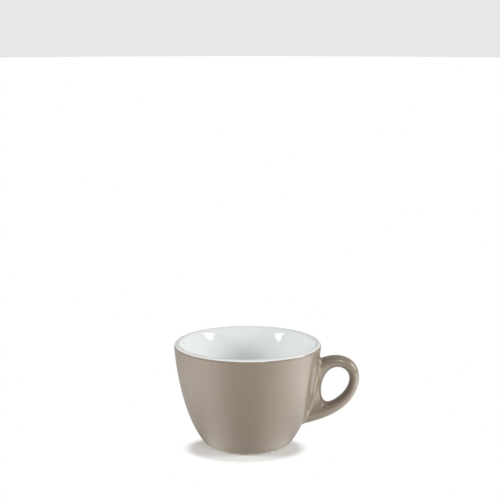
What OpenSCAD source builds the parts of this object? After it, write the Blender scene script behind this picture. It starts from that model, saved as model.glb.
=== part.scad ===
// Cappuccino cup with an ear handle, in millimetres.
// The cup's axis is Z, the cup stands on z = 0 and the handle points along +X.
// A profile point is [radius, height], and a point of the ear's outline is [x, z].

/* [Cup] */
// Diameter over the rim
rim_d = 93; // [88:0.5:98]
// Height from the table to the top of the lip
cup_h = 66.1; // [62:0.1:72]
// Outer diameter of the flat ring that the cup stands on
foot_d = 45.1; // [41:0.1:48]
// Radius of the rounding between the foot and the belly
base_round = 7.6; // [6.5:0.1:9.5]
// Angle through which the base rounding turns
base_turn = 52; // [48:1:56]
// Reach of the belly curve above the base rounding
belly_low = 16.4; // [14:0.1:19]
// Reach of the belly curve below the lip
belly_high = 23; // [20:0.1:26]
// Outward lean of the wall under the lip, in degrees
wall_lean = 4.5; // [3:0.5:6]

/* [Lip] */
// Radius of the lip's outer rounding
lip_outer = 2.3; // [2:0.1:3]
// Radius of the lip's inner rounding
lip_inner = 1; // [0.7:0.1:1.5]
// Depth of the white edge below the top of the lip, on the outside
colour_drop = 1; // [0.7:0.1:1.6]

/* [Inside] */
// Thickness of the floor above the foot recess
floor_t = 4.4; // [3.5:0.1:6]
// Diameter of the flat middle of the floor
well_flat_d = 38; // [32:1:40]
// Radius of the rounding between the floor and the wall
well_round = 9; // [7:0.5:11]
// Angle through which the floor rounding turns
well_turn = 52; // [48:1:56]
// Reach of the inner curve above the floor rounding
well_low = 20; // [17:0.5:23]
// Reach of the inner curve below the lip
well_high = 12; // [9:0.5:15]
// Outward lean of the inside under the lip, in degrees
inner_lean = 20; // [16:1:24]

/* [Foot] */
// Width of the bare ring that touches the table
foot_land = 3.2; // [2.4:0.1:4]
// Depth of the recess inside the foot ring
foot_recess = 1.8; // [1.5:0.1:2.4]
// Radius of the recess's corner
recess_round = 1.2; // [0.8:0.1:1.3]
// Turn of the base rounding that is wiped clean of glaze, in degrees
bare_turn = 14; // [10:1:20]

/* [Glaze and slip] */
// Thickness of the glaze coats
glaze_t = 0.3; // [0.2:0.05:0.4]
// Thickness of the slip between the wall and the handle
slip_t = 0.4; // [0.35:0.05:0.6]

/* [Finger hole] */
// Distance of the hole's centre below the top of the lip
hole_drop = 27.65; // [26:0.05:30]
// Distance of the hole's centre from the cup's wall
hole_out = 12.25; // [11:0.05:14]
// Length of the hole
hole_len = 24.4; // [22:0.1:26]
// Width of the hole
hole_wid = 15.7; // [14:0.1:17]
// Tilt of the hole's long axis from the horizontal, in degrees
hole_tilt = 62.9; // [58:0.1:66]
// Share by which the hole is wider towards its upper end
hole_taper = 0.2; // [0.1:0.01:0.3]

/* [Ear] */
// Distance of the ear curve's centre from the hole's centre, towards the cup
ear_back = 11.95; // [11:0.05:13]
// Distance of the ear curve's centre below the hole's centre
ear_down = 7.35; // [6.5:0.05:8.5]
// Length of the ear's outer curve
ear_len = 65.4; // [63:0.1:69]
// Width of the ear's outer curve
ear_wid = 27.95; // [26:0.05:29]
// Tilt of the ear's outer curve from the horizontal, in degrees
ear_tilt = 41.9; // [40:0.1:44]
// Share by which the ear is wider towards its upper end
ear_taper = 0.595; // [0.54:0.005:0.66]
// Share by which the ear is fuller at its ends than at its middle
ear_swell = -0.155; // [-0.2:0.005:-0.1]
// Depth of the ear from front to back
ear_depth = 10.4; // [8:0.1:13]
// Height of the fillet where the ear spreads onto the wall
root_flare = 1.6; // [1:0.1:2.2]
// Width of that fillet
root_reach = 2.6; // [2:0.1:3.4]

/* [Hidden] */

clay_colour = "#e9e6dd";
bare_colour = "#d9cfbd";
white_colour = "#e6ebe8";
taupe_colour = "#a39583";

turn_steps = 128;
round_steps = 12;
belly_steps = 24;
arch_steps = 46;
web_steps = 26;
side_steps = 9;
outer_angle = 0;
hidden_angle = 120;
edge_place = 0.9985;
root_depth = 1;
halvings = 24;

rim_r = rim_d / 2;
foot_r = foot_d / 2;
floor_z = foot_recess + floor_t;
recess_edge = foot_recess - recess_round;
recess_r = foot_r - foot_land - recess_edge;
lip_r = rim_r - lip_outer;
colour_turn = asin((lip_outer - colour_drop) / lip_outer);

base_centre = [foot_r, base_round];
lip_centre = [lip_r, cup_h - lip_outer];
lip_in_centre = [lip_r, cup_h - lip_inner];
well_centre = [well_flat_d / 2, floor_z + well_round];
recess_centre = [recess_r - recess_round, recess_edge];

function ray(a) = [cos(a), sin(a)];
function arc(centre, r, from, to) =
    [for (i = [0:round_steps]) centre + r * ray(from + (to - from) * i / round_steps)];

// The four control points of a wall curve that leaves an arc at an angle and ends leaning at the lip
function wall_curve(start, turn, low, end, lean, high) =
    [start, start + low * ray(turn), end - high * ray(90 - lean), end];
function curve_point(c, t) =
    pow(1 - t, 3) * c[0] + 3 * t * pow(1 - t, 2) * c[1] + 3 * t * t * (1 - t) * c[2] + pow(t, 3) * c[3];
function curve_run(c, t) =
    pow(1 - t, 2) * (c[1] - c[0]) + 2 * t * (1 - t) * (c[2] - c[1]) + t * t * (c[3] - c[2]);
// Points of a wall curve, moved to its left side by a distance
function curve_points(c, left) =
    [for (i = [1:belly_steps - 1])
        let (t = i / belly_steps, run = curve_run(c, t))
        curve_point(c, t) + left * [-run[1], run[0]] / norm(run)];

belly = wall_curve(base_centre + base_round * ray(base_turn - 90), base_turn, belly_low,
    lip_centre + lip_outer * ray(-wall_lean), wall_lean, belly_high);
well = wall_curve(well_centre + well_round * ray(well_turn - 90), well_turn, well_low,
    lip_in_centre + lip_inner * ray(180 - inner_lean), inner_lean, well_high);

// The glazed outside from the foot to the edge of the colour, at a depth below the glaze's surface
function outside(depth) = concat(
    arc(base_centre, base_round - depth, bare_turn - 90, base_turn - 90),
    curve_points(belly, depth),
    arc(lip_centre, lip_outer - depth, -wall_lean, colour_turn));
// The white lip and inside, from the edge of the colour to the middle of the floor
function inside(depth) = concat(
    arc(lip_centre, lip_outer - depth, colour_turn, 90),
    without_first(arc(lip_in_centre, lip_inner - depth, 90, 180 - inner_lean)),
    reversed(curve_points(well, -depth)),
    reversed(arc(well_centre, well_round + depth, -90, well_turn - 90)),
    [[0, floor_z - depth]]);
// The recess inside the foot ring, from the middle outwards
function recess(depth) = concat(
    [[0, foot_recess + depth]],
    arc(recess_centre, recess_round + depth, 90, 0));

function reversed(list) = [for (i = [len(list) - 1:-1:0]) list[i]];
function without_first(list) = [for (i = [1:len(list) - 1]) list[i]];

// Radius of the glazed wall at a height
wall_table = [for (p = outside(0)) [p[1], p[0]]];
function wall_at(z) = lookup(z, wall_table);

hole_z = cup_h - hole_drop;
hole_centre = [wall_at(hole_z) + hole_out, hole_z];
ear_centre = hole_centre - [ear_back, ear_down];

// A point of an egg-shaped curve at an angle measured from its long axis
function egg(centre, length, width, tilt, taper, swell, a) =
    let (along = length / 2 * cos(a),
        across = width / 2 * (1 + taper * cos(a) + swell * cos(2 * a)) * sin(a))
    centre + along * ray(tilt) + across * ray(tilt + 90);
function hole_point(a) = egg(hole_centre, hole_len, hole_wid, hole_tilt, hole_taper, 0, a);
function ear_point(a) =
    egg(ear_centre, ear_len, ear_wid, ear_tilt, ear_taper, ear_swell, a + hole_tilt - ear_tilt);

// Height of the fillet at a distance from the wall
function flare(gap) = root_flare * pow(1 - min(max(gap, 0), root_reach) / root_reach, 2);

// Distance from the wall to a point of the ear's plane, taken to one side by a distance
function wall_gap(p, side) = norm([p[0], side]) - wall_at(p[1]);
// Share of the ear's half depth at a place across it, from -1 at the hole to 1 at the outer curve
function oval(across) = sqrt(1 - across * across);
// Angle at which the ear's outer curve comes to its root depth, between one outside it and one inside
function meeting(outer, inner, tries = halvings) =
    let (middle = (outer + inner) / 2)
    tries == 0 ? middle
    : wall_gap(ear_point(middle), 0) > -root_depth ? meeting(middle, inner, tries - 1)
    : meeting(outer, middle, tries - 1);
// Place across the ear at which a section comes to its root depth, between one outside it and one inside
function root_place(near, far, outer = -1, inner = 1, tries = halvings) =
    let (middle = (outer + inner) / 2, p = (near + far) / 2 + (far - near) / 2 * middle)
    tries == 0 ? middle
    : wall_gap(p, ear_depth / 2 * oval(middle)) > -root_depth ? root_place(near, far, middle, inner, tries - 1)
    : root_place(near, far, outer, middle, tries - 1);

// Steps from one value to another, closer together at both ends
function eased(from, to, steps) = [for (i = [0:steps - 1]) from + (to - from) * (1 - cos(180 * i / steps)) / 2];

upper_meeting = meeting(outer_angle, hidden_angle);
lower_meeting = meeting(outer_angle - 90, hidden_angle - 360);

// Each section's angle, and the place across the ear, from -1 to 1, at which it ends
ear_sections = concat(
    [for (a = eased(lower_meeting, upper_meeting, arch_steps)) [a, edge_place]],
    [for (a = eased(upper_meeting, lower_meeting + 360, web_steps))
        [a, min(edge_place, root_place(hole_point(a), ear_point(a)))]]);

// One oval section of the ear, between the hole and the outer curve, at a depth below its surface
function ear_section(a, end, depth) =
    let (near = hole_point(a), far = ear_point(a), middle = (near + far) / 2,
        half = norm(far - near) / 2, dir = (far - near) / (2 * half), half_depth = ear_depth / 2)
    [for (j = [0:2 * side_steps])
        let (step = min(j, 2 * side_steps + 1 - j),
            across = -1 + (1 + end) * (1 - cos(180 * step / side_steps)) / 2,
            side = (j > side_steps ? -1 : 1) * oval(across),
            facing = [across / half, side / half_depth],
            out = facing / norm(facing),
            flat = middle + dir * half * across,
            grow = flare(wall_gap(flat, half_depth * side)) - depth,
            place = flat + dir * out[0] * grow)
        [place[0], half_depth * side + out[1] * grow, place[1]]];

// The whole ear as a closed ring of sections, rooted a little inside the wall
module ear(depth) {
    count = len(ear_sections);
    size = 2 * side_steps + 1;
    points = [for (s = ear_sections) for (p = ear_section(s[0], s[1], depth)) p];
    faces = [for (i = [0:count - 1]) for (j = [0:size - 1])
        let (a = i * size, b = ((i + 1) % count) * size, k = (j + 1) % size)
        for (triangle = [[a + j, b + k, b + j], [a + j, a + k, b + k]]) triangle];
    polyhedron(points, faces);
}

module turned(points) {
    rotate_extrude($fn = turn_steps) polygon(points);
}

// All that lies inside the wall's surface, at a depth below the glaze
module wall_core(depth) {
    turned(concat([[0, 0]], [[foot_r, 0]], outside(depth), [[0, outside(depth)[len(outside(depth)) - 1][1]]]));
}

module coat(surface, back) {
    turned(concat(surface, reversed(back)));
}

module bowl() {
    bare_edge = arc(base_centre, base_round, -90, bare_turn - 90);
    color(clay_colour)
        turned(concat(recess(glaze_t), [[recess_r, recess_edge], [recess_r + recess_edge, 0]],
            bare_edge, outside(glaze_t), without_first(inside(glaze_t))));
}

module handle() {
    color(clay_colour)
        difference() {
            ear(glaze_t);
            wall_core(glaze_t - slip_t);
        }
}

module slip_joint() {
    color(bare_colour)
        intersection() {
            ear(glaze_t);
            difference() {
                wall_core(glaze_t - slip_t);
                wall_core(glaze_t);
            }
        }
}

module liner_glaze() {
    color(white_colour) coat(inside(0), inside(glaze_t));
}

module outer_glaze() {
    color(taupe_colour)
        difference() {
            coat(outside(0), outside(glaze_t));
            ear(0);
        }
}

module handle_glaze() {
    color(taupe_colour)
        difference() {
            ear(0);
            ear(glaze_t);
            wall_core(glaze_t);
        }
}

module foot_well_glaze() {
    color(taupe_colour) coat(recess(0), recess(glaze_t));
}

bowl();
handle();
slip_joint();
liner_glaze();
outer_glaze();
handle_glaze();
foot_well_glaze();
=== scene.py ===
"""A cappuccino cup with an ear handle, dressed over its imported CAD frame.

Sizes are in millimetres, as in the part's source, and meshes are made in metres.
The cup stands on z = 0, its axis is Z and its handle points along +X.
"""

import logging
import math
from dataclasses import dataclass, field
from enum import Enum
from typing import Any, Callable, Sequence

import bpy
import numpy as np
from mathutils import Matrix, Vector


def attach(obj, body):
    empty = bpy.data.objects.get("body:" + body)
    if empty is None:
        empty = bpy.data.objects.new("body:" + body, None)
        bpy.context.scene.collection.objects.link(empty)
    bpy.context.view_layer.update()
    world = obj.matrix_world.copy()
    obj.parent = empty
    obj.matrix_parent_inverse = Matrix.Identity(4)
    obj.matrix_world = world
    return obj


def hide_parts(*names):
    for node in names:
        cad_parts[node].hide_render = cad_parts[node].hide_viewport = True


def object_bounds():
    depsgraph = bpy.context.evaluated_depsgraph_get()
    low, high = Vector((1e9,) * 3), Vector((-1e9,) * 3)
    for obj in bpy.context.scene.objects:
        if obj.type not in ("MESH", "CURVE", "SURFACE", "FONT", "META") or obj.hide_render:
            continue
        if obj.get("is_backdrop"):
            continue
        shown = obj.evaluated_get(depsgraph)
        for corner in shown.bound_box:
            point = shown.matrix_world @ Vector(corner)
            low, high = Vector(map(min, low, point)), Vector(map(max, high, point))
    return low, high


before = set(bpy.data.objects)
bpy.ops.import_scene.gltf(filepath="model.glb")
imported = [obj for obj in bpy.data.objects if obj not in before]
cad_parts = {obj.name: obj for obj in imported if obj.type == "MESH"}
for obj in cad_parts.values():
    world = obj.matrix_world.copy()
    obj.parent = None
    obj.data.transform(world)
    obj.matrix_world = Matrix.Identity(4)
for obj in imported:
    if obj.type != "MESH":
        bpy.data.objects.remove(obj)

log = logging.getLogger("cup")

METRES = 0.001
ON_AXIS = 1e-9
ROOT = "root"

# The Mix node's colour sockets, by number because their names repeat
MIX_A = 6
MIX_B = 7
MIX_RESULT = 2

Array = np.ndarray
Pair = tuple[float, float]
Triple = tuple[float, float, float]
Colour = Triple


class Node(str, Enum):
    """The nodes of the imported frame."""

    BOWL = "bowl"
    HANDLE = "handle"
    SLIP_JOINT = "slip_joint"
    LINER_GLAZE = "liner_glaze"
    OUTER_GLAZE = "outer_glaze"
    HANDLE_GLAZE = "handle_glaze"
    FOOT_WELL_GLAZE = "foot_well_glaze"


class Slot(str, Enum):
    """The record's material slots."""

    CLAY = "fired_clay"
    SLIP = "fired_slip"
    WHITE = "white_glaze"
    TAUPE = "taupe_glaze"


# Shader building


@dataclass(frozen=True)
class Wire:
    """An output socket that takes part in Python sums, through Math nodes or Vector Math."""

    bench: "Bench"
    socket: bpy.types.NodeSocket

    def _join(self, operation: str, first: Any, second: Any) -> "Wire":
        """Adds the node for one operation on two values.

        Args:
            operation: the operation's name, as Math and Vector Math call it.
            first: a wire or a plain value.
            second: a wire or a plain value.

        Returns:
            The wire of the result.
        """
        kind = "ShaderNodeMath" if self.socket.type == "VALUE" else "ShaderNodeVectorMath"
        return self.bench.wire(kind, 0, {"operation": operation}, {0: first, 1: second})

    def __add__(self, other: Any) -> "Wire":
        """The sum."""
        return self._join("ADD", self, other)

    def __radd__(self, other: Any) -> "Wire":
        """The sum, with the plain value on the left."""
        return self._join("ADD", other, self)

    def __sub__(self, other: Any) -> "Wire":
        """The difference."""
        return self._join("SUBTRACT", self, other)

    def __rsub__(self, other: Any) -> "Wire":
        """The difference, with the plain value on the left."""
        return self._join("SUBTRACT", other, self)

    def __mul__(self, other: Any) -> "Wire":
        """The product."""
        return self._join("MULTIPLY", self, other)

    def __rmul__(self, other: Any) -> "Wire":
        """The product, with the plain value on the left."""
        return self._join("MULTIPLY", other, self)

    def eased(self, low: float, high: float) -> "Wire":
        """Rises smoothly from 0 to 1 as the value goes from low to high.

        Args:
            low: the value that gives 0.
            high: the value that gives 1.

        Returns:
            The wire of the share.
        """
        sockets = {0: self, 1: low, 2: high}
        return self.bench.wire("ShaderNodeMapRange", 0, {"interpolation_type": "SMOOTHSTEP"}, sockets)

    def tint(self, none: "Wire | Colour", full: "Wire | Colour") -> "Wire":
        """Goes from one colour to another as this share goes from 0 to 1.

        Args:
            none: the colour, or its wire, at 0.
            full: the colour, or its wire, at 1.

        Returns:
            The wire of the colour.
        """
        sockets = {0: self, MIX_A: opaque(none), MIX_B: opaque(full)}
        return self.bench.wire("ShaderNodeMix", MIX_RESULT, {"data_type": "RGBA"}, sockets)


def opaque(value: Wire | Colour) -> Any:
    """A colour as a socket takes it, or its wire as it is."""
    return value if isinstance(value, Wire) else (*value, 1.0)


class Bench:
    """A node tree, and the one way in which nodes are put into it."""

    def __init__(self, owner: bpy.types.Material | bpy.types.World) -> None:
        """Clears the owner's node tree.

        Args:
            owner: the material or the world.
        """
        owner.use_nodes = True
        self.tree = owner.node_tree
        self.tree.nodes.clear()

    def node(self, kind: str, settings: dict[str, Any] | None = None,
             sockets: dict[Any, Any] | None = None) -> bpy.types.Node:
        """Adds one node.

        Args:
            kind: the node's type.
            settings: the node's own settings, which are set first.
            sockets: values or wires by the input's name or index.

        Returns:
            The node.
        """
        made = self.tree.nodes.new(kind)
        for name, value in (settings or {}).items():
            setattr(made, name, value)
        for key, value in (sockets or {}).items():
            if isinstance(value, Wire):
                self.tree.links.new(value.socket, made.inputs[key])
            else:
                made.inputs[key].default_value = value
        return made

    def wire(self, kind: str, output: Any, settings: dict[str, Any] | None = None,
             sockets: dict[Any, Any] | None = None) -> Wire:
        """Adds one node and gives one of its outputs.

        Args:
            kind: the node's type.
            output: the output's name or index.
            settings: as in node().
            sockets: as in node().

        Returns:
            The output's wire.
        """
        return Wire(self, self.node(kind, settings, sockets).outputs[output])

    def noise(self, place: Wire, scale: float, detail: float) -> Wire:
        """Noise from 0 to 1 about 0.5.

        Args:
            place: the wire of the position, in metres.
            scale: the number of its features per metre.
            detail: the number of finer layers.

        Returns:
            The noise's wire.
        """
        sockets = {"Vector": place, "Scale": scale, "Detail": detail}
        return self.wire("ShaderNodeTexNoise", 0, {"noise_dimensions": "3D"}, sockets)

    def length(self, place: Wire) -> Wire:
        """The length of a vector."""
        return self.wire("ShaderNodeVectorMath", "Value", {"operation": "LENGTH"}, {0: place})

    def surface(self, colour: Wire, roughness: Wire, relief: dict[str, Any], ior: float) -> None:
        """Adds the surface's shader and the material's output.

        Args:
            colour: the wire of the colour.
            roughness: the wire of the roughness.
            relief: the strength, distance in metres and height of the bump.
            ior: the index of refraction.
        """
        bump = self.wire("ShaderNodeBump", "Normal", None, relief)
        shader = self.wire("ShaderNodeBsdfPrincipled", 0, None,
                           {"Base Color": colour, "Roughness": roughness, "IOR": ior, "Normal": bump})
        self.node("ShaderNodeOutputMaterial", None, {0: shader})


# Finishes


@dataclass(frozen=True)
class Borders:
    """Places in metres at which the glazes end, for the finishes that share a border."""

    rim_z: float
    colour_z: float
    foot_z: float
    lip_r: float


@dataclass(frozen=True)
class Glaze:
    """A fired glaze with grain, soft mottling, a softly wavy border and the marks of its making.

    A noise is given by its scale and its detail, and lengths are in metres.
    """

    name: str
    colour: Colour
    grain: float
    mottle: float
    roughness: float
    ripple: float
    other: Colour
    borders: Borders
    wiped: bool = False
    specks: float = 0.0
    lip_dim: float = 0.0
    lip_dim_depth: Pair = (0.0012, 0.0004)
    grain_noise: Pair = (2600.0, 1.0)
    mottle_noise: Pair = (55.0, 3.0)
    gloss_wave: float = 0.4
    speck_noise: Pair = (900.0, 0.0)
    speck_range: Pair = (0.74, 0.8)
    peel_noise: Pair = (520.0, 2.0)
    peel: float = 0.12
    sweep_noise: Pair = (38.0, 1.0)
    ior: float = 1.52
    border_noise: Pair = (140.0, 2.0)
    border_wave: float = 0.00022
    border_soft: float = 0.00012
    lip_soft: float = 0.001
    wipe_noise: Pair = (210.0, 3.0)
    wipe_wave: float = 0.0005
    wipe_soft: float = 0.0001
    wipe_rough: float = 0.6
    bare: Colour = (0.52, 0.44, 0.34)

    def build(self) -> bpy.types.Material:
        """Makes the material.

        Returns:
            The material.
        """
        material = bpy.data.materials.new(self.name)
        bench = Bench(material)
        place = bench.wire("ShaderNodeTexCoord", "Object")
        height = bench.wire("ShaderNodeSeparateXYZ", "Z", None, {0: place})
        grain = bench.noise(place, *self.grain_noise)
        mottle = bench.noise(place, *self.mottle_noise)
        body = self._body(bench, place, height, grain, mottle)
        level = height + (bench.noise(place, *self.border_noise) - 0.5) * self.border_wave
        edge, soft = self.borders.colour_z, self.border_soft
        colour = self._crossing(bench, place, level.eased(edge - soft, edge + soft), body)
        roughness = (mottle - 0.5) * (self.gloss_wave * self.roughness) + self.roughness
        if self.wiped:
            level = height + (bench.noise(place, *self.wipe_noise) - 0.5) * self.wipe_wave
            glazed = level.eased(self.borders.foot_z, self.borders.foot_z + self.wipe_soft)
            colour = glazed.tint(self.bare, colour)
            roughness = roughness + (1.0 - glazed) * self.wipe_rough
        waves = bench.noise(place, *self.peel_noise) * self.peel + bench.noise(place, *self.sweep_noise)
        relief = {"Strength": 1.0, "Distance": self.ripple, "Height": waves}
        bench.surface(colour, roughness, relief, self.ior)
        return material

    def _body(self, bench: Bench, place: Wire, height: Wire, grain: Wire, mottle: Wire) -> Wire:
        """The glaze's own colour with its grain and mottling, darker on the lip.

        Args:
            bench: the material's bench.
            place: the wire of the position.
            height: the wire of the height.
            grain: fine noise.
            mottle: broad noise.

        Returns:
            The colour's wire.
        """
        shade = (grain - 0.5) * self.grain + (mottle - 0.5) * self.mottle + 1.0
        specks = bench.noise(place, *self.speck_noise).eased(*self.speck_range) * -self.specks
        # Darker at the top of the rim, by this share.
        lip_dimming = height.eased(*(self.borders.rim_z - depth for depth in self.lip_dim_depth)) * self.lip_dim
        level = (shade + specks) * (1.0 - lip_dimming)
        red, green, blue = self.colour
        sockets = {0: level * red, 1: level * green, 2: level * blue}
        return bench.wire("ShaderNodeCombineColor", 0, None, sockets)

    def _crossing(self, bench: Bench, place: Wire, above: Wire, body: Wire) -> Wire:
        """The colour on both sides of the border under the lip.

        Args:
            bench: the material's bench.
            place: the wire of the position.
            above: the share of the colour that lies above the border.
            body: this glaze's own colour.

        Returns:
            The colour's wire.
        """
        if self.wiped:
            return above.tint(body, self.other)
        reach = bench.length(place * (1.0, 1.0, 0.0))
        under = (1.0 - above) * reach.eased(self.borders.lip_r, self.borders.lip_r + self.lip_soft)
        return under.tint(body, self.other)


@dataclass(frozen=True)
class BareClay:
    """Fired, unglazed clay with grog and rubbed places."""

    name: str
    colour: Colour = (0.62, 0.55, 0.44)
    dark: Colour = (0.45, 0.37, 0.27)
    grit_noise: Pair = (1500.0, 3.0)
    grit_range: Pair = (0.6, 0.75)
    grit_share: float = 0.4
    patch_noise: Pair = (120.0, 3.0)
    patch_range: Pair = (0.35, 0.7)
    patch_share: float = 0.6
    roughness: float = 0.82
    rough_wave: float = 0.2
    relief: Pair = (0.6, 0.00008)
    ior: float = 1.5

    def build(self) -> bpy.types.Material:
        """Makes the material.

        Returns:
            The material.
        """
        material = bpy.data.materials.new(self.name)
        bench = Bench(material)
        place = bench.wire("ShaderNodeTexCoord", "Object")
        grit = bench.noise(place, *self.grit_noise)
        patch = bench.noise(place, *self.patch_noise)
        shade = (patch.eased(*self.patch_range) * self.patch_share
                 + grit.eased(*self.grit_range) * self.grit_share)
        roughness = (patch - 0.5) * self.rough_wave + self.roughness
        strength, distance = self.relief
        relief = {"Strength": strength, "Distance": distance, "Height": grit}
        bench.surface(shade.tint(self.colour, self.dark), roughness, relief, self.ior)
        return material


# Shapes


@dataclass
class Run:
    """A smooth stretch of a turned profile, with its outward normals."""

    points: Array
    normals: Array

    def back(self) -> "Run":
        """The stretch walked the other way."""
        return Run(self.points[::-1], self.normals[::-1])

    @staticmethod
    def line(start: Sequence[float], end: Sequence[float], steps: int = 1) -> "Run":
        """A straight stretch, whose outside is on its right.

        Args:
            start: its first point, as radius and height.
            end: its last point.
            steps: the number of its parts.

        Returns:
            The stretch.
        """
        places = np.linspace(0.0, 1.0, steps + 1)[:, None]
        points = np.array(start) + places * (np.array(end) - np.array(start))
        along = points[-1] - points[0]
        out = np.array([along[1], -along[0]]) / np.linalg.norm(along)
        return Run(points, np.repeat(out[None], steps + 1, 0))

    @staticmethod
    def join(runs: Sequence["Run"]) -> "Run":
        """Makes one stretch of some that go on smoothly.

        Args:
            runs: the stretches in order.

        Returns:
            The stretch.
        """
        points = [runs[0].points] + [r.points[1:] for r in runs[1:]]
        normals = [runs[0].normals] + [r.normals[1:] for r in runs[1:]]
        return Run(np.concatenate(points), np.concatenate(normals))


def ray(degrees: Any) -> Array:
    """The unit vector at an angle, or the vectors at angles.

    Args:
        degrees: the angle or angles from the first axis.

    Returns:
        The vectors.
    """
    turn = np.radians(degrees)
    return np.stack([np.cos(turn), np.sin(turn)], -1)


def arc(centre: Array, radius: float, start: float, end: float, hollow: bool = False,
        steps: int = 24) -> Run:
    """A round stretch of a profile.

    Args:
        centre: the centre of the rounding.
        radius: its radius.
        start: the angle at which it starts.
        end: the angle at which it ends.
        hollow: whether the outside is on the side of the centre.
        steps: the number of its parts.

    Returns:
        The stretch.
    """
    out = ray(np.linspace(start, end, steps + 1))
    return Run(centre + radius * out, -out if hollow else out)


@dataclass
class CupProfile:
    """The turned profile of the bowl and its glazes, from the same sizes as the part's source."""

    rim_d: float = 93.0
    cup_h: float = 66.1
    foot_d: float = 45.1
    base_round: float = 7.6
    base_turn: float = 52.0
    belly_low: float = 16.4
    belly_high: float = 23.0
    wall_lean: float = 4.5
    lip_outer: float = 2.3
    lip_inner: float = 1.0
    colour_drop: float = 1.0
    floor_t: float = 4.4
    well_flat_d: float = 38.0
    well_round: float = 9.0
    well_turn: float = 52.0
    well_low: float = 20.0
    well_high: float = 12.0
    inner_lean: float = 20.0
    foot_land: float = 3.2
    foot_recess: float = 1.8
    recess_round: float = 1.2
    bare_turn: float = 14.0
    glaze_t: float = 0.3
    wipe_up: float = 0.05
    belly_steps: int = 96
    floor_steps: int = 12
    recess_steps: tuple[int, int] = (8, 12)
    ring_steps: tuple[int, int, int] = (2, 4, 8)

    def __post_init__(self) -> None:
        """Works out the centres and curves that the stretches share."""
        self.foot_r = self.foot_d / 2
        self.lip_r = self.rim_d / 2 - self.lip_outer
        self.floor_z = self.foot_recess + self.floor_t
        self.recess_edge = self.foot_recess - self.recess_round
        self.recess_r = self.foot_r - self.foot_land - self.recess_edge
        self.colour_turn = math.degrees(math.asin((self.lip_outer - self.colour_drop) / self.lip_outer))
        self.wiped_z = self.base_round * (1 - math.cos(math.radians(self.bare_turn))) + self.wipe_up
        self.base_centre = np.array([self.foot_r, self.base_round])
        self.lip_centre = np.array([self.lip_r, self.cup_h - self.lip_outer])
        self.lip_in_centre = np.array([self.lip_r, self.cup_h - self.lip_inner])
        self.well_centre = np.array([self.well_flat_d / 2, self.floor_z + self.well_round])
        self.recess_centre = np.array([self.recess_r - self.recess_round, self.recess_edge])
        self.belly = self._wall_curve(
            self.base_centre + self.base_round * ray(self.base_turn - 90), self.base_turn, self.belly_low,
            self.lip_centre + self.lip_outer * ray(-self.wall_lean), self.wall_lean, self.belly_high)
        self.well = self._wall_curve(
            self.well_centre + self.well_round * ray(self.well_turn - 90), self.well_turn, self.well_low,
            self.lip_in_centre + self.lip_inner * ray(180 - self.inner_lean), self.inner_lean,
            self.well_high)
        wall = self.outside(0.0)
        self.heights = wall.points[:, 1]
        self.radii = wall.points[:, 0]
        self.slopes = -wall.normals[:, 1] / wall.normals[:, 0]

    @staticmethod
    def _wall_curve(start: Array, turn: float, low: float, end: Array, lean: float,
                    high: float) -> list[Array]:
        """Control points of a wall curve that leaves an arc at an angle and ends leaning at the lip."""
        return [start, start + low * ray(turn), end - high * ray(90 - lean), end]

    def _curve(self, control: list[Array], left: float, hollow: bool) -> Run:
        """A wall curve as a stretch, moved to its left side.

        Args:
            control: its four control points.
            left: the distance by which it is moved.
            hollow: whether the outside is on its left.

        Returns:
            The stretch.
        """
        t = np.linspace(0.0, 1.0, self.belly_steps + 1)[:, None]
        a, b, c, d = control
        points = (1 - t) ** 3 * a + 3 * t * (1 - t) ** 2 * b + 3 * t * t * (1 - t) * c + t ** 3 * d
        run = (1 - t) ** 2 * (b - a) + 2 * t * (1 - t) * (c - b) + t * t * (d - c)
        side = np.stack([-run[:, 1], run[:, 0]], -1) / np.linalg.norm(run, axis=1)[:, None]
        return Run(points + left * side, side if hollow else -side)

    def outside(self, depth: float) -> Run:
        """The glazed outside, from the foot to the border of the colours.

        Args:
            depth: the depth below the surface.

        Returns:
            The stretch.
        """
        return Run.join([
            arc(self.base_centre, self.base_round - depth, self.bare_turn - 90, self.base_turn - 90),
            self._curve(self.belly, depth, False),
            arc(self.lip_centre, self.lip_outer - depth, -self.wall_lean, self.colour_turn)])

    def inside(self, depth: float) -> Run:
        """The white lip and inside, from the border of the colours to the middle of the floor.

        Args:
            depth: the depth below the surface.

        Returns:
            The stretch.
        """
        level = self.floor_z - depth
        floor = Run.line([0.0, level], [self.well_flat_d / 2, level], self.floor_steps)
        return Run.join([
            arc(self.lip_centre, self.lip_outer - depth, self.colour_turn, 90.0),
            arc(self.lip_in_centre, self.lip_inner - depth, 90.0, 180.0 - self.inner_lean),
            self._curve(self.well, -depth, True).back(),
            arc(self.well_centre, self.well_round + depth, -90.0, self.well_turn - 90.0, True).back(),
            Run(floor.points, -floor.normals).back()])

    def recess(self, depth: float) -> Run:
        """The recess inside the foot ring, from the middle outwards.

        Args:
            depth: the depth below the surface.

        Returns:
            The stretch.
        """
        level = self.foot_recess + depth
        flat_steps, round_steps = self.recess_steps
        top = Run.line([0.0, level], [self.recess_centre[0], level], flat_steps)
        edge = arc(self.recess_centre, self.recess_round + depth, 90.0, 0.0, True, round_steps)
        return Run.join([top, edge])

    def ring(self) -> list[Run]:
        """The bare foot ring.

        Returns:
            Its stretches, from the recess's glaze to the outer glaze.
        """
        inner = [self.recess_r + self.recess_edge, 0.0]
        bevel_steps, land_steps, round_steps = self.ring_steps
        return [
            Run.line([self.recess_r, self.recess_edge], inner, bevel_steps),
            Run.line(inner, [self.foot_r, 0.0], land_steps),
            arc(self.base_centre, self.base_round, -90.0, self.bare_turn - 90.0, steps=round_steps)]

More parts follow.
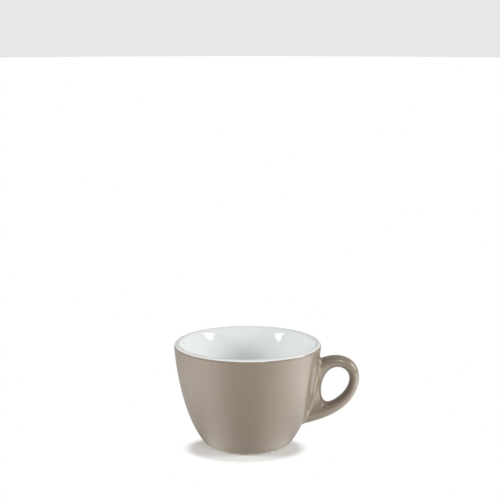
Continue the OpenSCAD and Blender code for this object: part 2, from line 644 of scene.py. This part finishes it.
    def wall_gap(self, places: Array) -> tuple[Array, Array]:
        """Signed distance from the glazed wall, and the direction away from it.

        Args:
            places: points in millimetres.

        Returns:
            The distances, positive outside, and the unit directions.
        """
        radius = np.hypot(places[:, 0], places[:, 1])
        wall = np.interp(places[:, 2], self.heights, self.radii)
        slope = np.interp(places[:, 2], self.heights, self.slopes)
        steep = np.sqrt(1 + slope ** 2)
        out = np.stack([places[:, 0] / radius, places[:, 1] / radius, -slope], -1) / steep[:, None]
        return (radius - wall) / steep, out


def face_normals_set(mesh: bpy.types.Mesh, normals: Array) -> None:
    """Shades a mesh smoothly with given normals.

    Args:
        mesh: the mesh.
        normals: one normal for each corner of each face.
    """
    mesh.polygons.foreach_set("use_smooth", np.ones(len(mesh.polygons), bool))
    mesh.normals_split_custom_set(normals.astype(float).tolist())


@dataclass
class TurnedForm:
    """A closed or open profile turned round the cup's axis."""

    runs: list[Run]
    segments: int = 240

    def mesh(self, name: str) -> bpy.types.Mesh:
        """Makes the mesh.

        Args:
            name: the mesh's name.

        Returns:
            The mesh, with the exact normals of its profile.
        """
        turns = np.linspace(0.0, 2 * math.pi, self.segments, endpoint=False)
        circle = np.stack([np.cos(turns), np.sin(turns)], -1)
        verts: list[Array] = []
        faces: list[Array] = []
        corners: list[Array] = []
        first: Array | None = None
        last: Array | None = None
        for run in self.runs:
            rings: list[Array] = []
            for place, point in enumerate(run.points):
                final = run is self.runs[-1] and place == len(run.points) - 1
                if place == 0 and last is not None and point[0] >= ON_AXIS:
                    ring = last
                elif final and np.allclose(point, self.runs[0].points[0], atol=ON_AXIS):
                    ring = first
                else:
                    ring = self._ring(point, circle, verts)
                first = ring if first is None else first
                rings.append(ring)
            last = rings[-1]
            turned = [self._turned(normal, circle) for normal in run.normals]
            for i, (near, far) in enumerate(zip(rings, rings[1:])):
                faces.append(np.stack([near, np.roll(near, -1), np.roll(far, -1), far], 1))
                corners.append(np.stack([turned[i], np.roll(turned[i], -1, 0),
                                         np.roll(turned[i + 1], -1, 0), turned[i + 1]], 1))
        return self._finished(name, np.concatenate(verts), np.concatenate(faces), np.concatenate(corners))

    def _ring(self, point: Array, circle: Array, verts: list[Array]) -> Array:
        """Adds one ring's points, or the only one on the axis.

        Args:
            point: its radius and height.
            circle: the directions round the axis.
            verts: the points so far, to which it adds.

        Returns:
            The numbers of the points, one for each direction.
        """
        count = sum(map(len, verts))
        spots = circle[:1] if point[0] < ON_AXIS else circle
        verts.append(np.column_stack([point[0] * spots, np.full(len(spots), point[1])]))
        return count + np.arange(self.segments) % len(spots)

    @staticmethod
    def _turned(normal: Array, circle: Array) -> Array:
        """A profile's normal turned round the axis."""
        return np.concatenate([normal[0] * circle, np.full((len(circle), 1), normal[1])], 1)

    @staticmethod
    def _finished(name: str, verts: Array, quads: Array, corners: Array) -> bpy.types.Mesh:
        """Makes the mesh, with triangles where a quad touches the axis.

        Args:
            name: the mesh's name.
            verts: the points in millimetres.
            quads: four point numbers for each face.
            corners: the normals of the faces' corners.

        Returns:
            The mesh.
        """
        polygons: list[list[int]] = []
        normals: list[Array] = []
        for quad, corner in zip(quads.tolist(), corners):
            kept = [k for k in range(4) if quad[k] != quad[k - 1]]
            polygons.append([quad[k] for k in kept])
            normals.append(corner[kept])
        mesh = bpy.data.meshes.new(name)
        mesh.from_pydata((verts * METRES).tolist(), [], polygons)
        face_normals_set(mesh, np.concatenate(normals))
        return mesh


@dataclass
class EarSizes:
    """The ear's finger hole, outer curve and section, from the same sizes as the part's source."""

    hole_drop: float = 27.65
    hole_out: float = 12.25
    hole_len: float = 24.4
    hole_wid: float = 15.7
    hole_tilt: float = 62.9
    hole_taper: float = 0.2
    ear_back: float = 11.95
    ear_down: float = 7.35
    ear_len: float = 65.4
    ear_wid: float = 27.95
    ear_tilt: float = 41.9
    ear_taper: float = 0.595
    ear_swell: float = -0.155
    ear_depth: float = 10.4
    fillet: float = 2.4


@dataclass
class EarField:
    """Distances from the ear and the wall, and the skin that joins them with a rolled fillet."""

    sizes: EarSizes
    cup: CupProfile
    sections: int = 720
    batch: int = 4000
    least_share: float = -0.95
    far_off: float = 1e9
    tiny: float = 1e-12
    guard: float = 1e-15
    turn_rounds: int = 3
    turn_step: float = 1e-5
    turn_limit: float = 0.05
    least_slope: float = 1e-3
    least_size: float = 1e-6
    least_square: float = 0.05
    probe: float = 0.01
    move_limit: float = 0.5

    def __post_init__(self) -> None:
        """Places the middles of the ear's two curves."""
        hole_z = self.cup.cup_h - self.sizes.hole_drop
        wall = float(np.interp(hole_z, self.cup.heights, self.cup.radii))
        self.hole_centre = np.array([wall + self.sizes.hole_out, hole_z])
        self.ear_centre = self.hole_centre - np.array([self.sizes.ear_back, self.sizes.ear_down])

    @staticmethod
    def _egg(centre: Array, length: float, width: float, tilt: float, taper: float, swell: float,
             turn: Array) -> Array:
        """Points of an egg-shaped curve.

        Args:
            centre: the curve's middle.
            length: the length of its long axis.
            width: the length of its short axis.
            tilt: the long axis's angle in degrees.
            taper: the share by which the end at the angle 0 is wider than the middle.
            swell: the share by which both ends are wider.
            turn: the points' angles from the long axis.

        Returns:
            The points as x and z.
        """
        across = width / 2 * (1 + taper * np.cos(turn) + swell * np.cos(2 * turn)) * np.sin(turn)
        along = length / 2 * np.cos(turn)
        return centre + along[..., None] * ray(tilt) + across[..., None] * ray(tilt + 90)

    def hole_points(self, turn: Array) -> Array:
        """Points of the finger hole's curve."""
        s = self.sizes
        return self._egg(self.hole_centre, s.hole_len, s.hole_wid, s.hole_tilt, s.hole_taper, 0.0, turn)

    def outer_points(self, turn: Array) -> Array:
        """Points of the ear's outer curve.

        Args:
            turn: the points' angles from the hole's long axis.

        Returns:
            The points as x and z.
        """
        s = self.sizes
        turned = turn + math.radians(s.hole_tilt - s.ear_tilt)
        return self._egg(self.ear_centre, s.ear_len, s.ear_wid, s.ear_tilt, s.ear_taper, s.ear_swell,
                         turned)

    def first_turns(self, flat: Array) -> Array:
        """The angle whose section passes each point of the ear's plane.

        Args:
            flat: points as x and z.

        Returns:
            The angles.
        """
        turns = np.linspace(0.0, 2 * math.pi, self.sections + 1)
        near, far = self.hole_points(turns), self.outer_points(turns)
        run = far - near
        found = np.zeros(len(flat))
        for start in range(0, len(flat), self.batch):
            part = flat[start:start + self.batch, None, :] - near[None]
            cross = part[..., 0] * run[:, 1] - part[..., 1] * run[:, 0]
            share = (part * run).sum(-1) / (run ** 2).sum(-1)
            meets = (cross[:, :-1] * cross[:, 1:] <= 0) & (share[:, :-1] > self.least_share)
            cost = np.where(meets, np.abs(share[:, :-1] - 0.5), self.far_off)
            best = cost.argmin(1)
            rows = np.arange(len(part))
            low, high = cross[rows, best], cross[rows, best + 1]
            step = np.where(np.abs(high - low) > self.tiny, low / (low - high + self.guard), 0.0)
            found[start:start + self.batch] = turns[best] + np.clip(step, 0, 1) * (turns[1] - turns[0])
        return found

    def _across(self, flat: Array, turn: Array) -> tuple[Array, Array]:
        """Where points lie across the ear.

        Args:
            flat: points as x and z.
            turn: each point's angle, roughly.

        Returns:
            The place of each, from -1 at the hole to 1 at the outer curve, and half the width there.
        """
        for _ in range(self.turn_rounds):
            values = []
            for shift in (0.0, self.turn_step):
                near, far = self.hole_points(turn + shift), self.outer_points(turn + shift)
                part, run = flat - near, far - near
                values.append(part[:, 0] * run[:, 1] - part[:, 1] * run[:, 0])
            slope = (values[1] - values[0]) / self.turn_step
            slope = np.where(np.abs(slope) < self.least_slope, self.least_slope, slope)
            turn = turn - np.clip(values[0] / slope, -self.turn_limit, self.turn_limit)
        near, far = self.hole_points(turn), self.outer_points(turn)
        run = far - near
        length = np.linalg.norm(run, axis=1)
        share = ((flat - near) * run).sum(-1) / length ** 2
        return 2 * share - 1, length / 2

    def ear_gap(self, places: Array, turn: Array) -> Array:
        """Distance from the ear's oval surface, near the surface.

        Args:
            places: points in millimetres.
            turn: each point's angle, roughly.

        Returns:
            The distances, positive outside.
        """
        across, half = self._across(places[:, [0, 2]], turn)
        thick = self.sizes.ear_depth / 2
        deep = places[:, 1] / thick
        size = np.sqrt(across ** 2 + deep ** 2)
        grade = np.sqrt((across / half) ** 2 + (deep / thick) ** 2) / np.maximum(size, self.least_size)
        return (size - 1) / np.maximum(grade, self.least_slope)

    def joined(self, places: Array, turn: Array) -> Array:
        """Distance from the union of the ear and the cup with a rolled fillet between them.

        Args:
            places: points in millimetres.
            turn: each point's angle, roughly.

        Returns:
            The distances, positive outside.
        """
        r = self.sizes.fillet
        ear = np.maximum(r - self.ear_gap(places, turn), 0.0)
        wall = np.maximum(r - self.cup.wall_gap(places)[0], 0.0)
        return r - np.hypot(ear, wall)

    def slope(self, places: Array, turn: Array) -> Array:
        """The gradient of joined().

        Args:
            places: points in millimetres.
            turn: each point's angle, roughly.

        Returns:
            The gradients.
        """
        grade = np.zeros_like(places)
        for axis in range(3):
            step = np.zeros(3)
            step[axis] = self.probe
            rise = self.joined(places + step, turn) - self.joined(places - step, turn)
            grade[:, axis] = rise / (2 * self.probe)
        return grade

    def settle(self, places: Array, turn: Array, rounds: int = 4) -> Array:
        """Moves points onto the joined surface.

        Args:
            places: points in millimetres.
            turn: each point's angle, roughly.
            rounds: the number of moves.

        Returns:
            The moved points.
        """
        for _ in range(rounds):
            value = self.joined(places, turn)
            grade = self.slope(places, turn)
            square = np.maximum((grade ** 2).sum(1), self.least_square)
            move = np.clip(value / square, -self.move_limit, self.move_limit)
            places = places - move[:, None] * grade
        return places


class NetSkin:
    """A mesh net laid over the zero level of values on a grid."""

    def __init__(self, values: Array, origin: Array, cell: float) -> None:
        """Lays the net.

        Args:
            values: values on the grid's points, negative inside.
            origin: the grid's first point.
            cell: the grid's step.
        """
        inside = values < 0
        shape = np.array(values.shape) - 1
        total = np.zeros((int(shape.prod()), 3))
        count = np.zeros(int(shape.prod()))
        quads: list[Array] = []
        for axis in range(3):
            u, v = (axis + 1) % 3, (axis + 2) % 3
            low = [slice(None)] * 3
            high = [slice(None)] * 3
            low[axis], high[axis] = slice(None, -1), slice(1, None)
            crossing = inside[tuple(low)] != inside[tuple(high)]
            at = np.argwhere(crossing)
            fits = (at[:, u] > 0) & (at[:, v] > 0) & (at[:, u] < shape[u]) & (at[:, v] < shape[v])
            at = at[fits]
            first = values[tuple(low)][tuple(at.T)]
            second = values[tuple(high)][tuple(at.T)]
            point = at.astype(float)
            point[:, axis] += first / (first - second)
            cells = []
            for du, dv in ((1, 1), (0, 1), (0, 0), (1, 0)):
                place = at.copy()
                place[:, u] -= du
                place[:, v] -= dv
                cells.append(np.ravel_multi_index(place.T, shape))
            for number in cells:
                np.add.at(total, number, point)
                np.add.at(count, number, 1)
            quad = np.stack(cells, 1)
            flip = first > 0
            quad[flip] = quad[flip][:, ::-1]
            quads.append(quad)
        faces = np.concatenate(quads)
        used, faces = np.unique(faces, return_inverse=True)
        self.faces = faces.reshape(-1, 4)
        self.points = origin + cell * (total[used] / count[used][:, None])

    def relaxed(self, settle: Callable[[Array], Array], rounds: int) -> None:
        """Evens out the net's points along the surface.

        Args:
            settle: moves points back onto the surface.
            rounds: the number of rounds.
        """
        edges = np.concatenate([self.faces[:, [k, (k + 1) % 4]] for k in range(4)])
        for _ in range(rounds):
            total = np.zeros_like(self.points)
            count = np.zeros(len(self.points))
            for own, other in ((0, 1), (1, 0)):
                np.add.at(total, edges[:, own], self.points[edges[:, other]])
                np.add.at(count, edges[:, own], 1)
            self.points = settle(0.5 * self.points + 0.5 * total / count[:, None])

    def trimmed(self, keep: Array) -> tuple[Array, Array]:
        """The faces whose points are all kept.

        Args:
            keep: whether each point is kept.

        Returns:
            The numbers of the points that stay in use, and the faces by their new numbers.
        """
        faces = self.faces[keep[self.faces].all(1)]
        used, renumbered = np.unique(faces, return_inverse=True)
        return used, renumbered.reshape(-1, 4)


# Pieces


def placed(mesh: bpy.types.Mesh, finish: bpy.types.Material, slot: Slot, node: Node) -> bpy.types.Object:
    """Shows a mesh as a piece that stands for a node of the frame.

    Args:
        mesh: the piece's mesh, which also gives its name.
        finish: its material.
        slot: not used.
        node: the node that it replaces.

    Returns:
        The piece.
    """
    piece = bpy.data.objects.new(mesh.name, mesh)
    bpy.context.scene.collection.objects.link(piece)
    mesh.materials.append(finish)
    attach(piece, ROOT)
    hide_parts(node.value)
    log.info("%s: %d points, %d faces", piece.name, len(mesh.vertices), len(mesh.polygons))
    return piece


@dataclass
class TurnedCup:
    """The clay bowl and the three glazes that lie on it, all turned."""

    cup: CupProfile
    clay: bpy.types.Material
    white: bpy.types.Material
    taupe: bpy.types.Material

    def build(self) -> list[bpy.types.Object]:
        """Makes the four pieces.

        Returns:
            The pieces.
        """
        coats = (("white_liner", self.cup.inside, self.white, Slot.WHITE, Node.LINER_GLAZE),
                 ("taupe_outside", self.cup.outside, self.taupe, Slot.TAUPE, Node.OUTER_GLAZE),
                 ("taupe_foot_well", self.cup.recess, self.taupe, Slot.TAUPE, Node.FOOT_WELL_GLAZE))
        pieces = [self._clay_bowl()]
        for name, side, finish, slot, node in coats:
            mesh = self._coat(name, side(0.0), side(self.cup.glaze_t))
            pieces.append(placed(mesh, finish, slot, node))
        return pieces

    def _coat(self, name: str, surface: Run, back: Run) -> bpy.types.Mesh:
        """A closed coat between its surface and its back.

        Args:
            name: the mesh's name.
            surface: the surface's profile.
            back: the profile of its back, in the same direction.

        Returns:
            The mesh.
        """
        runs = [surface]
        if surface.points[-1][0] > 0:
            runs.append(Run.line(surface.points[-1], back.points[-1]))
        hidden = back.back()
        runs.append(Run(hidden.points, -hidden.normals))
        if surface.points[0][0] > 0:
            runs.append(Run.line(back.points[0], surface.points[0]))
        return TurnedForm(runs).mesh(name)

    def _clay_bowl(self) -> bpy.types.Object:
        """Makes the fired clay, which shows at the foot ring.

        Returns:
            The piece.
        """
        c = self.cup
        t = c.glaze_t
        runs = [c.recess(t)]
        runs.append(Run.line(c.recess(t).points[-1], [c.recess_r, c.recess_edge]))
        runs.extend(c.ring())
        runs.append(Run.line(c.ring()[-1].points[-1], c.outside(t).points[0]))
        runs.append(c.outside(t))
        runs.append(c.inside(t))
        return placed(TurnedForm(runs).mesh("clay_bowl"), self.clay, Slot.CLAY, Node.BOWL)


@dataclass
class EarHandle:
    """The glazed ear, whose skin runs onto the wall in a fillet."""

    cup: CupProfile
    sizes: EarSizes
    taupe: bpy.types.Material
    cell: float = 0.4
    spare: float = 2.0
    margin: float = 0.5
    dip: float = 0.02
    rounds: int = 6
    low: Triple = (27.0, -9.2, 6.0)
    high: Triple = (72.4, 9.2, 62.0)

    def build(self) -> bpy.types.Object:
        """Makes the ear's skin.

        Returns:
            The piece.
        """
        ear = EarField(self.sizes, self.cup)
        axes = [np.arange(a, b, self.cell) for a, b in zip(self.low, self.high)]
        flat = np.stack(np.meshgrid(axes[0], axes[2], indexing="ij"), -1).reshape(-1, 2)
        turns = ear.first_turns(flat).reshape(len(axes[0]), len(axes[2]))
        grid = np.stack(np.meshgrid(*axes, indexing="ij"), -1).reshape(-1, 3)
        spread = np.broadcast_to(turns[:, None, :], [len(a) for a in axes]).reshape(-1)
        values = ear.joined(grid, spread).reshape([len(a) for a in axes])
        net = NetSkin(values, np.array(self.low), self.cell)
        near = ear.ear_gap(net.points, ear.first_turns(net.points[:, [0, 2]]))
        used, faces = net.trimmed(near < self.sizes.fillet + self.spare)
        net.points, net.faces = net.points[used], faces
        turn = ear.first_turns(net.points[:, [0, 2]])
        net.relaxed(lambda points: ear.settle(points, turn, 1), self.rounds)
        points = ear.settle(net.points, turn)
        gap = ear.ear_gap(points, turn)
        normals = ear.slope(points, turn)
        normals = normals / np.linalg.norm(normals, axis=1)[:, None]
        net.points = points
        used, faces = net.trimmed(gap < self.sizes.fillet + self.margin)
        start = self.sizes.fillet - self.margin
        sunk = np.clip((gap[used] - start) / (2 * self.margin), 0.0, 1.0)
        skin = points[used] - normals[used] * (self.dip * sunk * sunk * (3 - 2 * sunk))[:, None]
        mesh = bpy.data.meshes.new("taupe_ear")
        mesh.from_pydata((skin * METRES).tolist(), [], faces.tolist())
        face_normals_set(mesh, normals[used][faces].reshape(-1, 3))
        return placed(mesh, self.taupe, Slot.TAUPE, Node.HANDLE_GLAZE)


# Studio


class LampFace(str, Enum):
    """The shapes of a lamp's face."""

    PANEL = "RECTANGLE"
    DISH = "ELLIPSE"


@dataclass(frozen=True)
class Softbox:
    """A lamp with a flat face, aimed at the cup."""

    name: str
    azimuth: float
    elevation: float
    width: float
    height: float
    power: float
    face: LampFace = LampFace.PANEL
    mirrored: bool = True
    lights: bool = True
    only: Slot | None = None
    distance: float = 0.9

    def build(self, aim: Vector, served: Sequence[bpy.types.Object]) -> None:
        """Puts the lamp in the scene.

        Args:
            aim: the point that it faces.
            served: the only pieces that it is for, or none where it is for all.
        """
        turn, rise = math.radians(self.azimuth), math.radians(self.elevation)
        back = Vector((math.sin(turn) * math.cos(rise), -math.cos(turn) * math.cos(rise), math.sin(rise)))
        lamp = bpy.data.lights.new(self.name, "AREA")
        lamp.shape = self.face.value
        lamp.size = self.width
        lamp.size_y = self.height
        lamp.energy = self.power
        shown = bpy.data.objects.new(self.name, lamp)
        shown.location = aim + back * self.distance
        shown.rotation_euler = back.to_track_quat("Z", "Y").to_euler()
        shown.visible_camera = False
        shown.visible_glossy = self.mirrored
        shown.visible_diffuse = self.lights
        if served:
            group = bpy.data.collections.new(self.name)
            for piece in served:
                group.objects.link(piece)
            shown.light_linking.receiver_collection = group
        bpy.context.scene.collection.objects.link(shown)


@dataclass(frozen=True)
class PaintedLightPool:
    """A painted pool of light on the table beside the cup, by its direction from the cup in degrees."""

    side: float
    level: float
    rise: Pair
    fall: Pair

    def over(self, turn: Wire) -> Wire:
        """The pool's painted light.

        Args:
            turn: the direction from the cup, in radians, 0 towards the camera and rising to the right.

        Returns:
            The glow's wire.
        """
        aside = turn * self.side
        rise = aside.eased(*map(math.radians, self.rise))
        fall = aside.eased(*map(math.radians, self.fall))
        return (rise - fall) * self.level


@dataclass(frozen=True)
class Floor:
    """The pale table: white to the eye, with the cup's shadow inside a painted elliptical edge, and to
    the cup a painted glow, bright at both sides and with painted shade near the cup.
    """

    radius: float = 4.0
    sides: int = 96
    catch: float = 0.95
    # Painted edge of the cup's shadow: the table shows its lit shading only within this ellipse round the
    # foot.
    shadow_middle: Triple = (-0.0016, -0.012, 0.0)
    shadow_half: Triple = (0.0362, 0.0278, 1.0)
    shadow_edge: Pair = (0.88, 1.12)
    # Painted light: the table's glow as the cup sees it, in front, behind and in painted pools at both
    # sides.
    glow: float = 1.0
    front: float = 1.0
    back: float = 0.5
    behind: Pair = (80.0, 150.0)
    left: PaintedLightPool = PaintedLightPool(-1.0, 1.75, (14.0, 60.0), (50.0, 130.0))
    right: PaintedLightPool = PaintedLightPool(1.0, 2.85, (10.0, 80.0), (78.0, 140.0))
    # Painted shade in the table's glow near the cup and under its foot.
    near: float = 0.15
    painted_contact_shade: Pair = (0.021, 0.033)
    front_shade: float = 0.48
    front_part: float = 28.0
    side_part: Pair = (20.0, 88.0)

    def build(self) -> None:
        """Makes the floor and its material."""
        turns = np.linspace(0.0, 2 * math.pi, self.sides, endpoint=False)
        points = [(self.radius * math.cos(t), self.radius * math.sin(t), 0.0) for t in turns]
        mesh = bpy.data.meshes.new("table")
        mesh.from_pydata(points, [], [list(range(len(points)))])
        table = bpy.data.objects.new("table", mesh)
        bpy.context.scene.collection.objects.link(table)
        mesh.materials.append(self._material())
        table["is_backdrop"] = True

    def _material(self) -> bpy.types.Material:
        """The table's material.

        Returns:
            White with the shadow, inside a painted elliptical edge, for the eye; a painted glow with
            painted bright sides for the cup; clear from below.
        """
        material = bpy.data.materials.new("table_white")
        bench = Bench(material)
        path = bench.node("ShaderNodeLightPath")
        seen = Wire(bench, path.outputs["Is Camera Ray"])
        shiny = Wire(bench, path.outputs["Is Glossy Ray"])
        place = bench.wire("ShaderNodeTexCoord", "Object")
        lit = bench.wire("ShaderNodeBsdfDiffuse", 0, None, {"Color": (self.catch,) * 3 + (1.0,)})
        white = bench.wire("ShaderNodeEmission", 0, None, {"Strength": 1.0})
        # Painted shadow edge: inside the ellipse the table shows the lamps' light and the cup's real
        # shadow; outside it is plain white.
        off = bench.length((place - self.shadow_middle) * tuple(1.0 / half for half in self.shadow_half))
        outside = off.eased(*self.shadow_edge)
        shown = bench.wire("ShaderNodeMixShader", 0, None, {0: outside, 1: lit, 2: white})
        # Painted light: for the cup the table glows, evenly to diffuse rays and as a painted reflection
        # to glossy rays.
        level = shiny * self._painted_glow_level(bench, place) + (1.0 - shiny) * self.glow
        glow = bench.wire("ShaderNodeEmission", 0, None, {"Color": level, "Strength": 1.0})
        top = bench.wire("ShaderNodeMixShader", 0, None, {0: seen, 1: glow, 2: shown})
        below = bench.wire("ShaderNodeNewGeometry", "Backfacing")
        clear = bench.wire("ShaderNodeBsdfTransparent", 0)
        both = bench.wire("ShaderNodeMixShader", 0, None, {0: below, 1: top, 2: clear})
        bench.node("ShaderNodeOutputMaterial", None, {0: both})
        return material

    def _painted_glow_level(self, bench: Bench, place: Wire) -> Wire:
        """The table's painted glow as the glaze mirrors it, by the direction and the distance from the
        cup.

        Args:
            bench: the table's bench.
            place: the wire of the position.

        Returns:
            The level's wire.
        """
        reach = bench.length(place)
        split = bench.node("ShaderNodeSeparateXYZ", None, {0: place})
        x, y = Wire(bench, split.outputs[0]), Wire(bench, split.outputs[1])
        turn = bench.wire("ShaderNodeMath", 0, {"operation": "ARCTAN2"}, {0: x, 1: y * -1.0})
        aside = bench.wire("ShaderNodeMath", 0, {"operation": "ABSOLUTE"}, {0: turn})
        behind = aside.eased(*map(math.radians, self.behind))
        # Painted shade near the cup, strongest in front and at the sides.
        before = 1.0 - aside.eased(0.0, math.radians(self.front_part))
        shade = before * self.front_shade + aside.eased(*map(math.radians, self.side_part))
        near = 1.0 - (1.0 - reach.eased(0.0, self.near)) * shade
        # Painted pools of light at both sides, dimmer behind.
        lit = (1.0 - behind) * self.front + self.left.over(turn) + self.right.over(turn)
        # Painted shadow: the glow fades out close to the foot.
        return (lit * near + behind * self.back) * reach.eased(*self.painted_contact_shade)


@dataclass(frozen=True)
class Surroundings:
    """The room round the table: pale to the eye, greyer in the glaze, and dim as a light."""

    seen: float = 0.8
    mirrored: float = 0.64
    light: float = 0.2

    def build(self) -> None:
        """Makes the world."""
        world = bpy.data.worlds.new("room")
        bench = Bench(world)
        path = bench.node("ShaderNodeLightPath")
        kinds = ("Is Camera Ray", "Is Glossy Ray", "Is Transmission Ray")
        eye, glossy, through = (Wire(bench, path.outputs[kind]) for kind in kinds)
        shiny = glossy + through
        rest = (1.0 - eye) * (1.0 - shiny)
        level = eye * self.seen + shiny * self.mirrored + rest * self.light
        glow = bench.wire("ShaderNodeBackground", 0, None, {"Color": level, "Strength": 1.0})
        bench.node("ShaderNodeOutputWorld", None, {0: glow})
        bpy.context.scene.world = world


@dataclass(frozen=True)
class Viewpoint:
    """The photograph's camera."""

    place: Triple = (0.0, -0.962146, 0.305498)
    ahead: Triple = (0.001564, 0.982944, -0.183899)
    lens: float = 112.5
    sensor: float = 36.0
    nearest: float = 0.01

    def build(self) -> None:
        """Makes the camera and uses it."""
        data = bpy.data.cameras.new("photo_view")
        data.lens = self.lens
        data.sensor_width = self.sensor
        data.clip_start = self.nearest
        camera = bpy.data.objects.new("photo_view", data)
        ahead = Vector(self.ahead).normalized()
        right = ahead.cross(Vector((0.0, 0.0, 1.0))).normalized()
        up = right.cross(ahead)
        turn = Matrix((right, up, -ahead)).transposed()
        camera.matrix_world = Matrix.Translation(self.place) @ turn.to_4x4()
        bpy.context.scene.collection.objects.link(camera)
        bpy.context.scene.camera = camera


@dataclass
class Studio:
    """The table, the room, the lamps and the camera."""

    aim: Triple = (0.0, 0.0, 0.04)
    lamps: list[Softbox] = field(default_factory=lambda: [
        Softbox("softbox_left", -73.5, 27.5, 0.38, 0.25, 4.65, mirrored=False),
        Softbox("softbox_right", 75.0, 24.0, 0.42, 0.26, 4.9, mirrored=False),
        Softbox("softbox_front", 25.0, 27.0, 0.3, 0.22, 1.3, mirrored=False),
        Softbox("dish_left", -58.7, 11.4, 0.18, 0.11, 0.32, LampFace.DISH, only=Slot.WHITE),
        Softbox("bar_left", -58.7, 14.2, 0.29, 0.05, 0.3, only=Slot.WHITE),
        Softbox("dish_right", 72.0, 11.4, 0.22, 0.11, 0.36, LampFace.DISH, only=Slot.WHITE),
        Softbox("bar_right", 72.0, 14.2, 0.33, 0.05, 0.34, only=Slot.WHITE),
        Softbox("sheen_right", 92.0, 25.0, 0.32, 0.41, 4.0, lights=False, only=Slot.TAUPE),
        Softbox("glint_low", 26.2, 47.2, 0.12, 0.12, 1.6, LampFace.DISH, lights=False, only=Slot.TAUPE),
        Softbox("glint_high", 57.9, 27.5, 0.12, 0.12, 0.2, LampFace.DISH, lights=False, only=Slot.TAUPE)])

    def build(self, pieces: Sequence[bpy.types.Object], finishes: dict[Slot, bpy.types.Material]) -> None:
        """Makes everything round the cup.

        Args:
            pieces: the cup's pieces.
            finishes: the material of each slot.
        """
        Floor().build()
        Surroundings().build()
        for lamp in self.lamps:
            finish = finishes.get(lamp.only)
            lamp.build(Vector(self.aim), [piece for piece in pieces if piece.data.materials[0] == finish])
        Viewpoint().build()
        bpy.context.scene.view_settings.view_transform = "Standard"


def corners() -> list[list[float]]:
    """The lowest and highest corner of what is shown, as plain lists."""
    return [list(map(float, corner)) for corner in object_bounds()]


def main() -> None:
    """Builds the cup's pieces and the studio round them."""
    logging.basicConfig(level=logging.INFO, format="%(name)s %(message)s")
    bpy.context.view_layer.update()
    cup = CupProfile()
    borders = Borders(cup.cup_h * METRES, (cup.cup_h - cup.colour_drop) * METRES,
                      cup.wiped_z * METRES, cup.lip_r * METRES)
    pale = (0.81, 0.834, 0.82)
    taupe_brown = (0.262, 0.212, 0.158)
    slip_brown = (0.55, 0.47, 0.37)
    white = Glaze(Slot.WHITE.value, pale, grain=0.02, mottle=0.03, roughness=0.035, ripple=0.00012,
                  other=taupe_brown, borders=borders, lip_dim=0.08).build()
    taupe = Glaze(Slot.TAUPE.value, taupe_brown, grain=0.16, mottle=0.06, roughness=0.23, ripple=0.0001,
                  other=pale, borders=borders, wiped=True, specks=0.08).build()
    clay = BareClay(Slot.CLAY.value).build()
    slip = BareClay(Slot.SLIP.value, slip_brown).build()
    pieces = TurnedCup(cup, clay, white, taupe).build()
    pieces.append(EarHandle(cup, EarSizes(), taupe).build())
    for node, finish in ((Node.HANDLE, clay), (Node.SLIP_JOINT, slip)):
        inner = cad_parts[node.value]
        inner.data.materials.clear()
        inner.data.materials.append(finish)
        log.info("%s: CAD solid, %d faces", node.value, len(inner.data.polygons))
    Studio().build(pieces, {Slot.WHITE: white, Slot.TAUPE: taupe})


if __name__ == "__main__":
    main()
